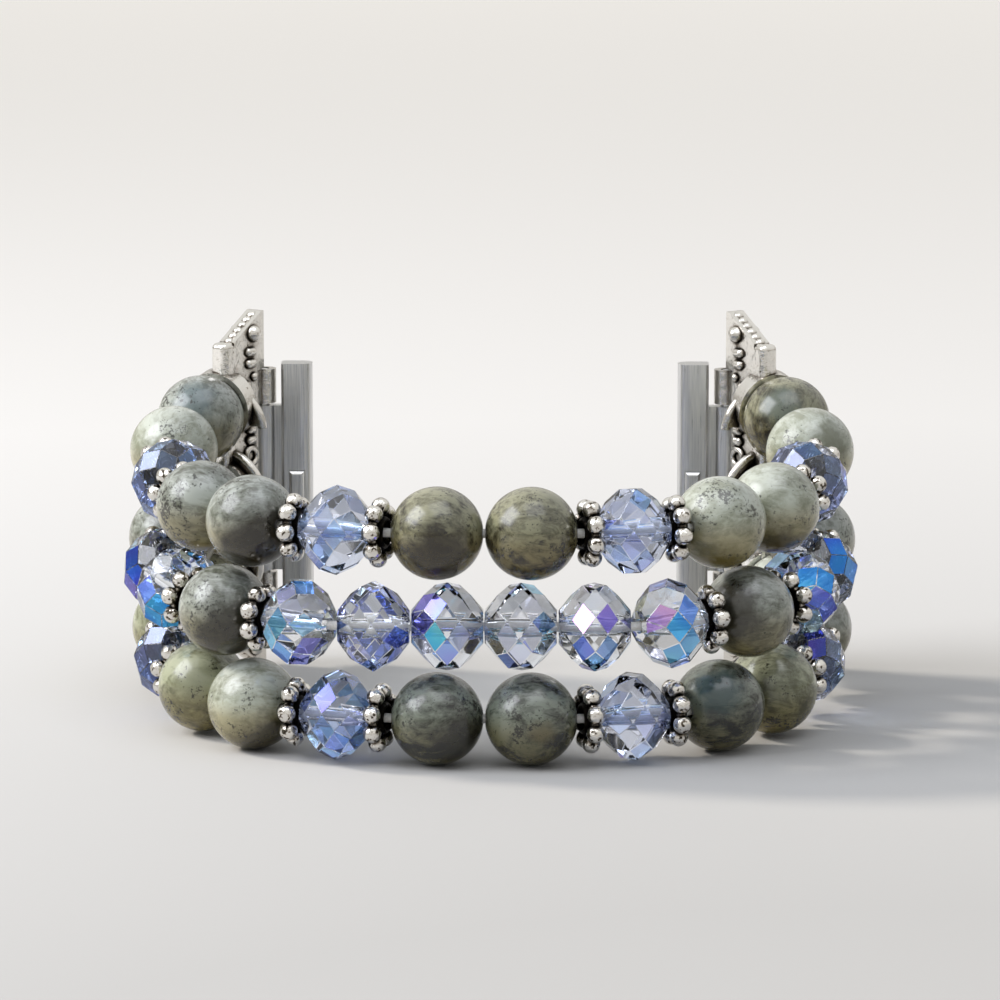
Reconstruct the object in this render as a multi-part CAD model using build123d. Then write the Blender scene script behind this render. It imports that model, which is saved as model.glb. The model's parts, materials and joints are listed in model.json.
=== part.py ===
from build123d import *
import os
from math import copysign, cos, pi, radians, sin, sqrt

# Three-row stretch bead band for a smartwatch, standing on one long edge.
# Lengths are in millimetres and turns in degrees.
# +X runs to the right along the front of the loop, +Y from the front to the watch end, +Z up.
# The origin is on the floor, in the middle of the band's width and depth.

# Beads
stone_diameter = 8.0
stone_bore = 1.2
crystal_diameter = 7.8
crystal_thickness = 6.16
crystal_bore = 1.2
crystal_facets = 8
crystal_waist_height = 2.0
crystal_waist_radius = 2.8
crystal_turn_share = 0.382

# Daisy spacers between beads
daisy_granules = 8
daisy_granule_diameter = 1.6
daisy_ring_radius = 2.2
daisy_hub_diameter = 3.0
daisy_hub_thickness = 1.5
daisy_bore = 1.5
daisy_web_thickness = 0.8

# Elastic cord, one for each row, with a knot at both ends
cord_diameter = 0.8
cord_bend_radius = 4.0
knot_diameter = 1.7
knot_reach = 1.9

# Running gaps between neighbours on a cord
bead_gap = 0.06
seat_gap = 0.03

# Rows from the floor up, at the front and at the last stone
row_names = ("bottom", "middle", "top")
row_pitch = 8.05
end_row_pitch = 8.25
row_sag_at_end = 0.7
rise_start = 26.0
row_length = 56.0

# Plan of a row from the centre of the front: a straight, then three arcs
front_straight = 9.2
corner_radius = 12.0
corner_turn = 35.0
flank_radius = 31.0
flank_turn = 50.0
rear_radius = 25.7
middle_row_bulge = 1.2

# What is threaded on half a row from the centre outwards, in links that keep in line on the cord:
# S stone, C crystal, d daisy
row_links = {
    "bottom": ("S", "dCd", "S", "S", "dCd", "S", "S"),
    "middle": ("C", "C", "Cd", "S", "dC", "Cd", "S", "S"),
    "top": ("S", "dCd", "S", "S", "dCd", "S", "S"),
}
front_links = {"bottom": 3, "middle": 4, "top": 3}

# End bars that gather the three rows
bar_height = 33.7
bar_reach = 8.9
bar_heading = 126.5
plate_thickness = 1.8
plate_start = 1.8
wing_start = 0.9
wing_top_width = 0.3
shoulder_reach = 5.1
post_start = 4.4
post_width = 2.1
post_thickness = 1.8
post_height = 28.5
post_corner = 0.55
socket_clearance = 0.14
socket_start = 3.0
lip_radius = 3.35
lip_width = 0.85
flange_width = 0.85
hood_radius = 3.9
hood_rim = 0.9
barrel_radius = 1.5
barrel_back = 1.0
knot_clearance = 0.2
cord_hole = 1.3
countersink = 2.5
countersink_depth = 1.0

# Relief cast into both faces of an end bar, above and below its middle: rounds, ovals, a leaf, a curl
relief_column = 2.9
large_round_height_share = 0.88
large_round_diameter = 1.6
large_round_inset = 0.45
oval_height_shares = (0.781, 0.716, 0.41, 0.35, 0.29)
oval_diameter = 0.95
oval_width = 1.5
small_round_height_shares = (0.641, 0.597)
small_round_diameter = 0.9
leaf_height_share = 0.5
leaf_turn = 60
curl_height_share = 0.2
curl_radius = 0.75
curl_wire = 0.7
edge_round_pitch = 0.84
edge_round_diameter = 1.1

# Hinge between end bar and watch lug
pin_diameter = 1.2
pin_length = 22.4
pin_press_gap = 0.02
pin_running_gap = 0.05
knuckle_diameter = 2.5
lug_knuckle_length = 15.6
bar_knuckle_length = 3.2
knuckle_gap = 0.25
knuckle_arm_thickness = 1.4

# Watch lugs that slide into the case, 22 mm class
lug_length = 23.6
lug_depth = 2.9
lug_thickness = 2.5
lug_standoff = 1.75
lug_neck_thickness = 1.3
lug_inner_round = 1.1
lug_outer_round = 0.35

# Latch button in each lug, with a bowed leaf spring under it
button_length = 3.4
button_width = 1.4
button_proud = 0.45
button_round = 0.35
button_flange = 0.25
button_flange_height = 0.35
button_gap = 0.04
pocket_lip = 0.4
pocket_depth = 1.75
leaf_thickness = 0.12
leaf_width = 1.1

# One overrun for all cuts and one overlap for joined pieces of one casting
overrun = 0.5
joining = 0.2

stone_radius = stone_diameter / 2
granule_radius = daisy_granule_diameter / 2
cord_radius = cord_diameter / 2
knot_radius = knot_diameter / 2
bar_half_height = bar_height / 2

# Rings of a cut crystal, worked out so that each of its rhombs is flat
facet_step = pi / crystal_facets
belt_radius = crystal_diameter / 2 * cos(facet_step)
belt_share = crystal_diameter / 2 * sin(facet_step) ** 2 / (crystal_diameter / 2 - crystal_waist_radius)
belt_height = crystal_waist_height * belt_share
waist_share = (crystal_waist_height - belt_height) / (crystal_thickness / 2 - belt_height)
waist_inset = belt_radius - crystal_waist_radius * cos(facet_step)
table_radius = belt_radius - waist_inset / waist_share

half_thicknesses = {"S": stone_radius, "C": crystal_thickness / 2, "d": daisy_hub_thickness / 2}
sides = {"left": -1, "right": 1}


# Where a row runs
row_arcs = (
    (corner_radius * radians(corner_turn), corner_radius),
    (flank_radius * radians(flank_turn), flank_radius),
    (rear_radius * pi, rear_radius),
)


def plan_point(along):
    # Place and heading of the plan curve at an arc length from the centre of the front
    left = abs(along)
    step = min(left, front_straight)
    x, y, heading = step, 0.0, 0.0
    left -= step
    for length, radius in row_arcs:
        turned = heading + min(left, length) / radius
        x += radius * (sin(turned) - sin(heading))
        y += radius * (cos(heading) - cos(turned))
        heading = turned
        left = max(left - length, 0)
    return x, y, heading


def row_point(row, along):
    # A point of one row, with its rise towards the watch and the middle row's outward bulge
    x, y, heading = plan_point(along)
    order = row_names.index(row)
    front_height = stone_radius + order * row_pitch
    end_height = bar_half_height - row_sag_at_end + (order - 1) * end_row_pitch
    rise_share = max(abs(along) - rise_start, 0) / (row_length - rise_start)
    height = front_height + (end_height - front_height) * (1 - cos(rise_share * pi / 2))
    if row == "middle" and abs(along) < row_length:
        bulge = middle_row_bulge * sin(pi * along / row_length) ** 2
        x += bulge * sin(heading)
        y -= bulge * cos(heading)
    return Vector(copysign(x, along), y, height)


def link_length(link):
    solid = sum(2 * half_thicknesses[kind] for kind in link)
    return solid + (len(link) - 1) * bead_gap


def turn_at(row, along, before, after):
    # Turn between two links that meet at a point of a row
    here = row_point(row, along)
    arriving = here - row_point(row, along - link_length(before))
    leaving = row_point(row, along + link_length(after)) - here
    return radians(arriving.get_angle(leaving))


def daisy_seat(turn):
    # How far a daisy's face stays from the mouth of a stone's bore when it is turned against it, so
    # that the edge of its bore, the edge of its hub and its granules all clear the stone
    hub_radius = daisy_hub_diameter / 2
    rings = (
        (daisy_bore / 2, 0, 0),
        (hub_radius, 0, 0),
        (daisy_ring_radius, daisy_hub_thickness / 2, granule_radius),
    )
    distances = []
    for radius, inset, swell in rings:
        clear = (stone_radius + swell) ** 2 - stone_radius**2 - radius**2
        side = stone_radius * cos(turn)
        distances.append(sqrt(side**2 + clear + 2 * stone_radius * radius * sin(turn)) - side - inset)
    return max(distances)


def opening(before, after, turn):
    # Space at a joint of two links, so that a turned neighbour clears its face
    facing = {before[-1], after[0]}
    if facing == {"S"}:
        return stone_diameter * (1 / cos(turn / 2) - 1) + bead_gap
    if facing == {"S", "d"}:
        return daisy_seat(turn) + seat_gap
    return table_radius * sin(turn) + bead_gap


def thread_half_row(row):
    # Joints and links of the right half of a row, each link from one joint to the next
    links = row_links[row]
    along = 0.0
    space = opening(links[0], links[0], turn_at(row, along, links[0], links[0]))
    joints = [row_point(row, along)]
    placed = []
    for link, following in zip(links, links[1:] + links[-1:]):
        low = along
        high = along + link_length(link) + stone_diameter
        while high - low > bead_gap / 1000:
            middle = (low + high) / 2
            next_space = opening(link, following, turn_at(row, middle, link, following))
            needed = link_length(link) + (space + next_space) / 2
            if (row_point(row, middle) - joints[-1]).length < needed:
                low = middle
            else:
                high = middle
        along = high
        joints.append(row_point(row, along))
        direction = (joints[-1] - joints[-2]).normalized()
        reach = space / 2
        for kind in link:
            reach += half_thicknesses[kind]
            placed.append((kind, len(joints) - 1, joints[-2] + direction * reach, direction))
            reach += half_thicknesses[kind] + bead_gap
        space = next_space
    knot = row_point(row, along + knot_reach)
    return joints, placed, knot


half_rows = {row: thread_half_row(row) for row in row_names}


def on_side(vector, side):
    return Vector(sides[side] * vector.X, vector.Y, vector.Z)


def threaded_pieces():
    # Every bead and daisy with its name, place, thread direction and section of the band
    pieces = []
    for row in row_names:
        for side in sides:
            number = 0
            for kind, link, centre, direction in half_rows[row][1]:
                number += kind != "d"
                word = {"S": "stone", "C": "crystal", "d": "daisy"}[kind]
                pieces.append(
                    {
                        "kind": kind,
                        "name": f"{word}_{row}_{side}_{number}",
                        "row": row,
                        "side": side,
                        "section": "front" if link <= front_links[row] else "side",
                        "centre": on_side(centre, side),
                        "direction": on_side(direction, side),
                    }
                )
    return pieces


pieces = threaded_pieces()
outer_end = half_rows["top"][1][-1][2]
hinge_foot = Vector(
    outer_end.X + bar_reach * cos(radians(bar_heading)),
    outer_end.Y + bar_reach * sin(radians(bar_heading)),
    bar_half_height,
)
bar_outward = Vector(-cos(radians(bar_heading)), -sin(radians(bar_heading)), 0)
loop_middle = (hinge_foot.Y + lug_thickness / 2 - stone_radius) / 2


# Threaded pieces, each with its bore along Z
def make_stone():
    return Sphere(stone_radius) - Cylinder(stone_bore / 2, stone_diameter + overrun)


def facet_point(radius, height, half_steps):
    return Vector(radius * cos(half_steps * facet_step), radius * sin(half_steps * facet_step), height)


def make_crystal():
    # A cut rondelle: a belt of upright rhombs, two rows of slanted rhombs at each end, a row of
    # triangles and a flat table
    girdle = crystal_diameter / 2
    outlines = []
    for way in (1, -1):
        rings = (
            (girdle, 0),
            (belt_radius, way * belt_height),
            (crystal_waist_radius, way * crystal_waist_height),
            (table_radius, way * crystal_thickness / 2),
        )
        for i in range(crystal_facets):
            for inner in (0, 1):
                step = 2 * i + 1 + inner
                outlines.append(
                    [
                        facet_point(*rings[inner], step),
                        facet_point(*rings[inner + 1], step + 1),
                        facet_point(*rings[inner + 2], step),
                        facet_point(*rings[inner + 1], step - 1),
                    ]
                )
            waist_corner = facet_point(*rings[2], 2 * i + 1)
            outlines.append([waist_corner] + [facet_point(*rings[3], 2 * i + side) for side in (2, 0)])
        outlines.append([facet_point(*rings[3], 2 * i) for i in range(crystal_facets)])
    for i in range(crystal_facets):
        outlines.append(
            [
                facet_point(girdle, 0, 2 * i - 1),
                facet_point(belt_radius, -belt_height, 2 * i),
                facet_point(girdle, 0, 2 * i + 1),
                facet_point(belt_radius, belt_height, 2 * i),
            ]
        )
    faces = [Face(Wire.make_polygon(outline)) for outline in outlines]
    return Solid(Shell(faces)) - Cylinder(crystal_bore / 2, crystal_thickness + overrun)


def make_daisy():
    web = Cylinder(daisy_ring_radius, daisy_web_thickness)
    hub = Cylinder(daisy_hub_diameter / 2, daisy_hub_thickness)
    granules = PolarLocations(daisy_ring_radius, daisy_granules) * Sphere(granule_radius)
    return web + hub + granules - Cylinder(daisy_bore / 2, daisy_hub_thickness + overrun)


def place_threaded(shape, piece, turn):
    plane = Plane(origin=piece["centre"], x_dir=(0, 0, 1), z_dir=piece["direction"])
    return plane * Rotation(0, 0, turn) * shape


# The elastic cords
def make_cord(row):
    # Straight through every bore, with a bend in each gap where the row turns, and a knot at each end
    joints, placed, knot = half_rows[row]
    half = joints[1:] + [knot]
    route = [on_side(point, "left") for point in reversed(half)] + half
    bends = len(route) - 2
    path = FilletPolyline(*route, radius=[cord_bend_radius] * bends)
    section = Plane(origin=path @ 0, z_dir=path % 0) * Circle(cord_radius)
    cord = sweep(section, path=path)
    expected = pi * cord_radius**2 * path.length
    print(f"cord {row}: length {path.length:.1f}, volume {cord.volume:.3f}, section x length {expected:.3f}")
    knots = [Pos(*end) * Sphere(knot_radius) for end in (route[0], route[-1])]
    return cord + knots


# End bars, modelled on the right and mirrored
bar_plane = Plane(origin=hinge_foot, x_dir=bar_outward, z_dir=bar_outward.cross(Vector(0, 0, 1)))


def mirrored_outline(upper):
    lower = [(reach, -height) for reach, height in reversed(upper)]
    return make_face(Polyline(*upper, *lower, close=True))


def bar_plate():
    knuckle_top = lug_knuckle_length / 2 + knuckle_gap + bar_knuckle_length
    post_top = post_height / 2
    outline = mirrored_outline(
        [
            (plate_start, knuckle_top),
            (wing_start, knuckle_top + knuckle_gap),
            (wing_start, bar_half_height),
            (wing_start + wing_top_width, bar_half_height),
            (shoulder_reach, post_top),
        ]
    )
    return extrude(outline, plate_thickness / 2, both=True)


def bar_post():
    # Upright that joins the three sockets, with rounded ends
    post = Pos(post_start + post_width / 2, 0, 0) * Box(post_width, post_height, post_thickness)
    return fillet(post.edges(), post_corner)


def bar_knuckles():
    # Two outer knuckles on short arms
    knuckles = []
    for way in (1, -1):
        height = way * (lug_knuckle_length / 2 + knuckle_gap + bar_knuckle_length / 2)
        barrel = Rotation(90, 0, 0) * Cylinder(knuckle_diameter / 2, bar_knuckle_length)
        arm_reach = plate_start + joining
        arm = Pos(arm_reach / 2, 0, 0) * Box(arm_reach, bar_knuckle_length, knuckle_arm_thickness)
        knuckles.append(Pos(0, height, 0) * (barrel + arm))
    return knuckles


def bar_edge_rounds():
    # Scalloped edge along both shoulders, in as many rounds as its length holds
    start = Vector(wing_start + wing_top_width, bar_half_height)
    edge = Vector(shoulder_reach, post_height / 2) - start
    count = round(edge.length / edge_round_pitch)
    rounds = []
    for i in range(count):
        middle = start + edge * ((i + 1 / 2) / count)
        for way in (1, -1):
            lowered = middle.Y - edge_round_diameter / 3
            rounds.append(Pos(middle.X, way * lowered, 0) * Sphere(edge_round_diameter / 2))
    return rounds


def make_oval():
    # A lying round-ended bar
    half_stem = (oval_width - oval_diameter) / 2
    stem = Rotation(0, 90, 0) * Cylinder(oval_diameter / 2, 2 * half_stem)
    ends = [Pos(way * half_stem, 0, 0) * Sphere(oval_diameter / 2) for way in (1, -1)]
    return stem + ends


def bar_relief():
    # Relief that shows on both faces, the same above and below the middle
    large_round = Sphere(large_round_diameter / 2)
    small_round = Sphere(small_round_diameter / 2)
    oval = make_oval()
    leaf = Rotation(0, 0, leaf_turn) * oval
    curl = Torus(curl_radius, curl_wire / 2)
    rows = [
        (large_round_height_share, -large_round_inset, large_round),
        (leaf_height_share, 0, leaf),
        (curl_height_share, 0, curl),
    ]
    rows += [(share, 0, oval) for share in oval_height_shares]
    for i, share in enumerate(small_round_height_shares):
        rows.append((share, (i - 1 / 2) * small_round_diameter, small_round))
    relief = []
    for share, shift, shape in rows:
        for way in (1, -1):
            for face in (1, -1):
                height = way * share * bar_half_height
                place = Pos(relief_column + shift, height, face * plate_thickness / 2)
                relief.append(place * shape)
    return relief


def socket_frames():
    # One plane for each row's socket: origin at the last stone's centre, Z towards the knot, X upwards
    frames = []
    for joints, placed, knot in half_rows.values():
        stone_centre = placed[-1][2]
        inwards = (knot - stone_centre).normalized()
        upwards = Vector(0, 0, 1) - inwards * inwards.Z
        plane = Plane(origin=stone_centre, x_dir=upwards, z_dir=inwards)
        frames.append((plane, (knot - stone_centre).length))
    return frames


def socket_ring(start, length, radius):
    return Pos(0, 0, start + length / 2) * Cylinder(radius, length)


def socket_hood(row, start):
    # Raised rim round a socket: all round the middle one, and round the outer half of the others
    full_turn = 360 if row == "middle" else 180
    first = 90 if row == "bottom" else -90
    rim = Rotation(0, 0, first) * Torus(hood_radius, hood_rim / 2, major_angle=full_turn)
    web = Rotation(0, 0, first) * Cylinder(hood_radius, flange_width, arc_size=full_turn)
    return Pos(0, 0, start + flange_width / 2) * (rim + web)


def make_end_bar():
    flat_parts = [bar_post()] + bar_knuckles() + bar_edge_rounds() + bar_relief()
    bar = bar_plane * (bar_plate() + flat_parts)
    flange_start = socket_start + lip_width
    barrel_start = flange_start + flange_width - joining
    for row, (frame, knot_distance) in zip(row_names, socket_frames()):
        barrel_length = knot_distance + barrel_back - barrel_start
        bar += [
            frame * socket_ring(socket_start, lip_width + flange_width, lip_radius),
            frame * socket_hood(row, flange_start),
            frame * socket_ring(barrel_start, barrel_length, barrel_radius),
        ]
    pocket_radius = knot_radius + knot_clearance
    recess_radius = stone_radius + socket_clearance
    for frame, knot_distance in socket_frames():
        hole = socket_ring(stone_radius, knot_distance - stone_radius, cord_hole / 2)
        pocket_length = 2 * pocket_radius + barrel_back + overrun
        funnel_middle = recess_radius + countersink_depth / 2 - joining
        funnel = Pos(0, 0, funnel_middle) * Cone(countersink / 2, cord_hole / 2, countersink_depth)
        bar -= [
            frame * Sphere(recess_radius),
            frame * hole,
            frame * funnel,
            frame * socket_ring(knot_distance - pocket_radius, pocket_length, pocket_radius),
        ]
    bore_length = lug_knuckle_length + 2 * (knuckle_gap + bar_knuckle_length) + knuckle_gap
    bore = Cylinder(pin_diameter / 2 + pin_press_gap, bore_length)
    return bar - Pos(*hinge_foot) * bore


def make_hinge_pin():
    pin = Cylinder(pin_diameter / 2, pin_length)
    ends = pin.edges().filter_by(GeomType.CIRCLE)
    return Pos(*hinge_foot) * chamfer(ends, pin_diameter / 8)


# Watch lug with its latch, modelled on the right and mirrored
lug_middle = hinge_foot - Vector(lug_standoff + lug_depth / 2, 0, 0)
latch_face = Plane(
    origin=lug_middle - Vector(0, lug_thickness / 2, 0), x_dir=(1, 0, 0), z_dir=(0, 1, 0)
)


def latch_layer(width, length, start, depth):
    # A block below the lug's latch face, from one depth to another
    return latch_face * Pos(0, 0, start + depth / 2) * Box(width, length, depth)


def make_watch_lug():
    bar = Box(lug_depth, lug_thickness, lug_length)
    upright = bar.edges().filter_by(Axis.Z).sort_by(Axis.X)
    bar = fillet(upright[:2], lug_inner_round)
    outer = bar.edges().filter_by(Axis.Z).sort_by(Axis.X)[-2:]
    bar = Pos(*lug_middle) * fillet(outer, lug_outer_round)
    neck_reach = lug_standoff + joining
    neck_middle = hinge_foot - Vector(neck_reach / 2, 0, 0)
    neck = Pos(*neck_middle) * Box(neck_reach, lug_neck_thickness, lug_knuckle_length)
    knuckle = Pos(*hinge_foot) * Cylinder(knuckle_diameter / 2, lug_knuckle_length)
    bore = Cylinder(pin_diameter / 2 + pin_running_gap, lug_knuckle_length + overrun)
    mouth = latch_layer(
        button_width + 2 * button_gap, button_length + 2 * button_gap, -overrun, overrun + pocket_lip
    )
    room = 2 * (button_flange + button_gap)
    cavity = latch_layer(
        button_width + room, button_length + room, pocket_lip, pocket_depth - pocket_lip
    )
    return bar + neck + knuckle - Pos(*hinge_foot) * bore - mouth - cavity


def make_latch_button():
    flange_top = pocket_lip + button_gap
    head = latch_layer(button_width, button_length, -button_proud, button_proud + flange_top + joining)
    rim = head.faces().sort_by(Axis.Y)[0].edges()
    flange = latch_layer(
        button_width + 2 * button_flange,
        button_length + 2 * button_flange,
        flange_top,
        button_flange_height,
    )
    return fillet(rim, button_round) + flange


def make_latch_spring():
    # A bowed strip, its ends on the pocket floor and its crown under the button
    crown = pocket_lip + button_gap + button_flange_height + bead_gap
    foot = pocket_depth - bead_gap
    half_span = button_length / 2
    upper = ThreePointArc((-half_span, foot - leaf_thickness), (0, crown), (half_span, foot - leaf_thickness))
    lower = ThreePointArc((half_span, foot), (0, crown + leaf_thickness), (-half_span, foot))
    side = make_face([upper, Line(upper @ 1, lower @ 0), lower, Line(lower @ 1, upper @ 0)])
    strip_plane = Plane(origin=latch_face.origin, x_dir=(0, 0, 1), z_dir=(-1, 0, 0))
    return strip_plane * extrude(side, leaf_width / 2, both=True)


def write(name, shape):
    os.makedirs("parts", exist_ok=True)
    export_step(Pos(0, -loop_middle, 0) * shape, f"parts/{name}.step")


shapes = {"S": make_stone(), "C": make_crystal(), "d": make_daisy()}
for place_number, piece in enumerate(pieces):
    turn = crystal_turn_share * place_number * 360 / crystal_facets
    piece["shape"] = place_threaded(shapes[piece["kind"]], piece, turn)
    if piece["kind"] != "d":
        write(piece["name"], piece["shape"])

for section in ("front", "side"):
    for side in sides:
        group = [
            piece["shape"]
            for piece in pieces
            if (piece["kind"], piece["section"], piece["side"]) == ("d", section, side)
        ]
        write(f"daisies_{section}_{side}", Compound(group))

write("elastic_cords", Compound([make_cord(row) for row in row_names]))

mirrored_pairs = {
    "end_bar": make_end_bar(),
    "hinge_pin": make_hinge_pin(),
    "watch_lug": make_watch_lug(),
    "latch_button": make_latch_button(),
    "latch_spring": make_latch_spring(),
}
for name, shape in mirrored_pairs.items():
    write(f"{name}_right", shape)
    write(f"{name}_left", mirror(shape, about=Plane.YZ))
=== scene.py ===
import json
import random
from math import atan2, cos, hypot, pi, radians, sin

import bmesh
import bpy
from mathutils import Matrix, Vector

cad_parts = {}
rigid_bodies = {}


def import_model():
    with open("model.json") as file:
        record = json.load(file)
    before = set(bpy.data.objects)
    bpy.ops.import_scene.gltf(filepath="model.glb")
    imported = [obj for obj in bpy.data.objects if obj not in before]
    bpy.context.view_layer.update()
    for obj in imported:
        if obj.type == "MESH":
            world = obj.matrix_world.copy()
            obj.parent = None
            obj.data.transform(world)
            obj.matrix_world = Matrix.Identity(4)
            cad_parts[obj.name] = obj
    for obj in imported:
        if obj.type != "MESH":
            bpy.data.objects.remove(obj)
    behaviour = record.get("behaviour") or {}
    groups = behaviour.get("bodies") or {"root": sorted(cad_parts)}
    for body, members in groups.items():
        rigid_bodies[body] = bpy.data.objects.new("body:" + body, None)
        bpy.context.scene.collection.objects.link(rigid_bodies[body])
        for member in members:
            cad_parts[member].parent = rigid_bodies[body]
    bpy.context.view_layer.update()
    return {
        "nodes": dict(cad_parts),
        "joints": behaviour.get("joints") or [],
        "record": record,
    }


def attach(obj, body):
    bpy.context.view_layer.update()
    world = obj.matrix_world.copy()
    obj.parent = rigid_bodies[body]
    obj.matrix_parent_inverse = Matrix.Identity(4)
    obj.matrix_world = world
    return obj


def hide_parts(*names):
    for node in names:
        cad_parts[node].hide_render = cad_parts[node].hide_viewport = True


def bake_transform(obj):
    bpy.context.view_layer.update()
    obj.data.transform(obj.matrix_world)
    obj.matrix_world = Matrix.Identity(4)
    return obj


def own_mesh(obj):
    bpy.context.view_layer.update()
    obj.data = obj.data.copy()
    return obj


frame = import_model()
mm = 0.001
nodes = frame["nodes"]
joints = {joint["name"]: joint for joint in frame["joints"]}
bodyOfNode = {name: body for body, names in frame["record"]["behaviour"]["bodies"].items() for name in names}
rowNames = ("bottom", "middle", "top")
sideNames = ("left", "right")


def hexColour(text):
    # sRGB hex to the linear values that the nodes take
    channels = [int(text[i:i + 2], 16) / 255 for i in (1, 3, 5)]
    return [c / 12.92 if c <= 0.04045 else ((c + 0.055) / 1.055) ** 2.4 for c in channels] + [1.0]


def addNode(tree, kind, inputs=None, stops=None, **settings):
    # Adds a node with its settings, its values or links by input, and a ramp's stops
    node = tree.nodes.new(kind)
    for name, value in settings.items():
        setattr(node, name, value)
    for name, value in (inputs or {}).items():
        if isinstance(value, bpy.types.NodeSocket):
            tree.links.new(value, node.inputs[name])
        else:
            node.inputs[name].default_value = value
    if stops:
        ramp = node.color_ramp
        while len(ramp.elements) < len(stops):
            ramp.elements.new(0.5)
        for element, (place, colour) in zip(ramp.elements, stops):
            element.position = place
            element.color = hexColour(colour)
    return node


def newMaterial(name, values):
    # A material whose shader has the given values, the same all over the surface
    material = bpy.data.materials.new(name)
    material.use_nodes = True
    tree = material.node_tree
    shader = tree.nodes["Principled BSDF"]
    for socket, value in values.items():
        shader.inputs[socket].default_value = value
    return material, tree, shader


def selectParts(piece, kind, test):
    # In edit mode, selects vertices, edges or faces by their place or normal
    mesh = bmesh.from_edit_mesh(piece.data)
    for part in list(mesh.verts) + list(mesh.edges) + list(mesh.faces):
        part.select = False
    for part in getattr(mesh, kind):
        if test(part):
            part.select_set(True)
    bmesh.update_edit_mesh(piece.data)


def useOnly(piece):
    bpy.ops.object.select_all(action="DESELECT")
    piece.select_set(True)
    bpy.context.view_layer.objects.active = piece


def bevelEdges(piece, width, segments, angle):
    # Breaks the edges that are sharper than the angle
    useOnly(piece)
    modifier = piece.modifiers.new("bevel", "BEVEL")
    modifier.width = width * mm
    modifier.segments = segments
    modifier.limit_method = "ANGLE"
    modifier.angle_limit = radians(angle)
    bpy.ops.object.modifier_apply(modifier=modifier.name)


def placedCopy(source, name, centre, axis, turn=0.0):
    # A copy with its own mesh, its Z along the thread and its place in the mesh
    mesh = source.data.copy()
    stand = Vector(axis).to_track_quat("Z", "Y").to_matrix().to_4x4()
    mesh.transform(Matrix.Translation(centre) @ stand @ Matrix.Rotation(turn, 4, "Z"))
    piece = bpy.data.objects.new(name, mesh)
    bpy.context.scene.collection.objects.link(piece)
    return piece


# corners nearer than this in mm are one, and faces within this angle are one flat
mergeLimits = {"gap": 0.001, "angle": 1.0}


def mergedCopy(node, name):
    # A copy of a solid's mesh with its doubled corners merged and its flat faces joined
    piece = bpy.data.objects.new(name, nodes[node].data.copy())
    bpy.context.scene.collection.objects.link(piece)
    useOnly(piece)
    bpy.ops.object.mode_set(mode="EDIT")
    bpy.ops.mesh.select_all(action="SELECT")
    bpy.ops.mesh.remove_doubles(threshold=mergeLimits["gap"] * mm)
    bpy.ops.mesh.dissolve_limited(angle_limit=radians(mergeLimits["angle"]))
    bpy.ops.mesh.normals_make_consistent(inside=False)
    bpy.ops.object.mode_set(mode="OBJECT")
    return piece


def finishPiece(piece, material, body, slot, *replaced):
    piece.data.materials.clear()
    piece.data.materials.append(material)
    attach(piece, body)
    if replaced:
        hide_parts(*replaced)


def coatNode(name, material):
    # A solid that keeps its own mesh gets its finish only
    nodes[name].data.materials.clear()
    nodes[name].data.materials.append(material)


# Camera, at the photograph's angle: places in mm, angles in degrees
cameraLook = {"target": (1.33, -19.61, 22.82), "distance": 420, "elevation": 9.5, "azimuth": -1.145,
              "lens": 177.5, "sensor": 36, "clipStart": 10}
heading, tilt = radians(cameraLook["azimuth"]), radians(cameraLook["elevation"])
forward = Vector((sin(heading) * cos(tilt), cos(heading) * cos(tilt), -sin(tilt)))
target = Vector(cameraLook["target"]) * mm
cameraPlace = target - forward * cameraLook["distance"] * mm
bpy.ops.object.camera_add(location=cameraPlace, rotation=forward.to_track_quat("-Z", "Y").to_euler())
camera = bpy.context.object
camera.data.lens = cameraLook["lens"]
camera.data.sensor_width = cameraLook["sensor"]
camera.data.clip_start = cameraLook["clipStart"] * mm
bpy.context.scene.camera = camera
bpy.context.scene.view_settings.view_transform = "Standard"
print("camera made")


# Pale floor, pale surroundings and lamps like a low window on the left with sun over it: in metres
stageLook = {
    "floorSize": 12.0,
    "floorRoughness": 0.75,
    # painted shade, from near to far: grey under the object, pale round it, palest far away
    "paintedShadeTones": [(0.0, "#b2b1ae"), (0.22, "#dcdbd8"), (1.0, "#fdfcf8")],
    "paintedShadeMiddle": (0.03, -0.14, 0.0),
    "paintedShadeReach": (0.07, 1.2),
    "sky": "#eef2fa",
    "skyStrength": 0.42,
    # what camera, mirrored and refracted rays meet, from straight down to straight up
    "surroundings": [(0.0, "#d6d2cc"), (0.49, "#cfcac3"), (0.53, "#a19e98"), (0.62, "#e4e1dc"),
                     (0.85, "#f6f6f4")],
}
lamps = {
    "sun": {"kind": "SUN", "from": (-0.50, 0.14, 0.36), "size": radians(9), "power": 2.7,
            "colour": "#fff6ea"},
    "window": {"kind": "AREA", "from": (-0.43, -0.13, 0.39), "size": 0.38, "power": 2.8,
               "colour": "#f6f8ff"},
    "overhead": {"kind": "AREA", "from": (0.06, -0.16, 0.55), "size": 0.40, "power": 0.9,
                 "colour": "#f4f7ff"},
}


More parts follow.
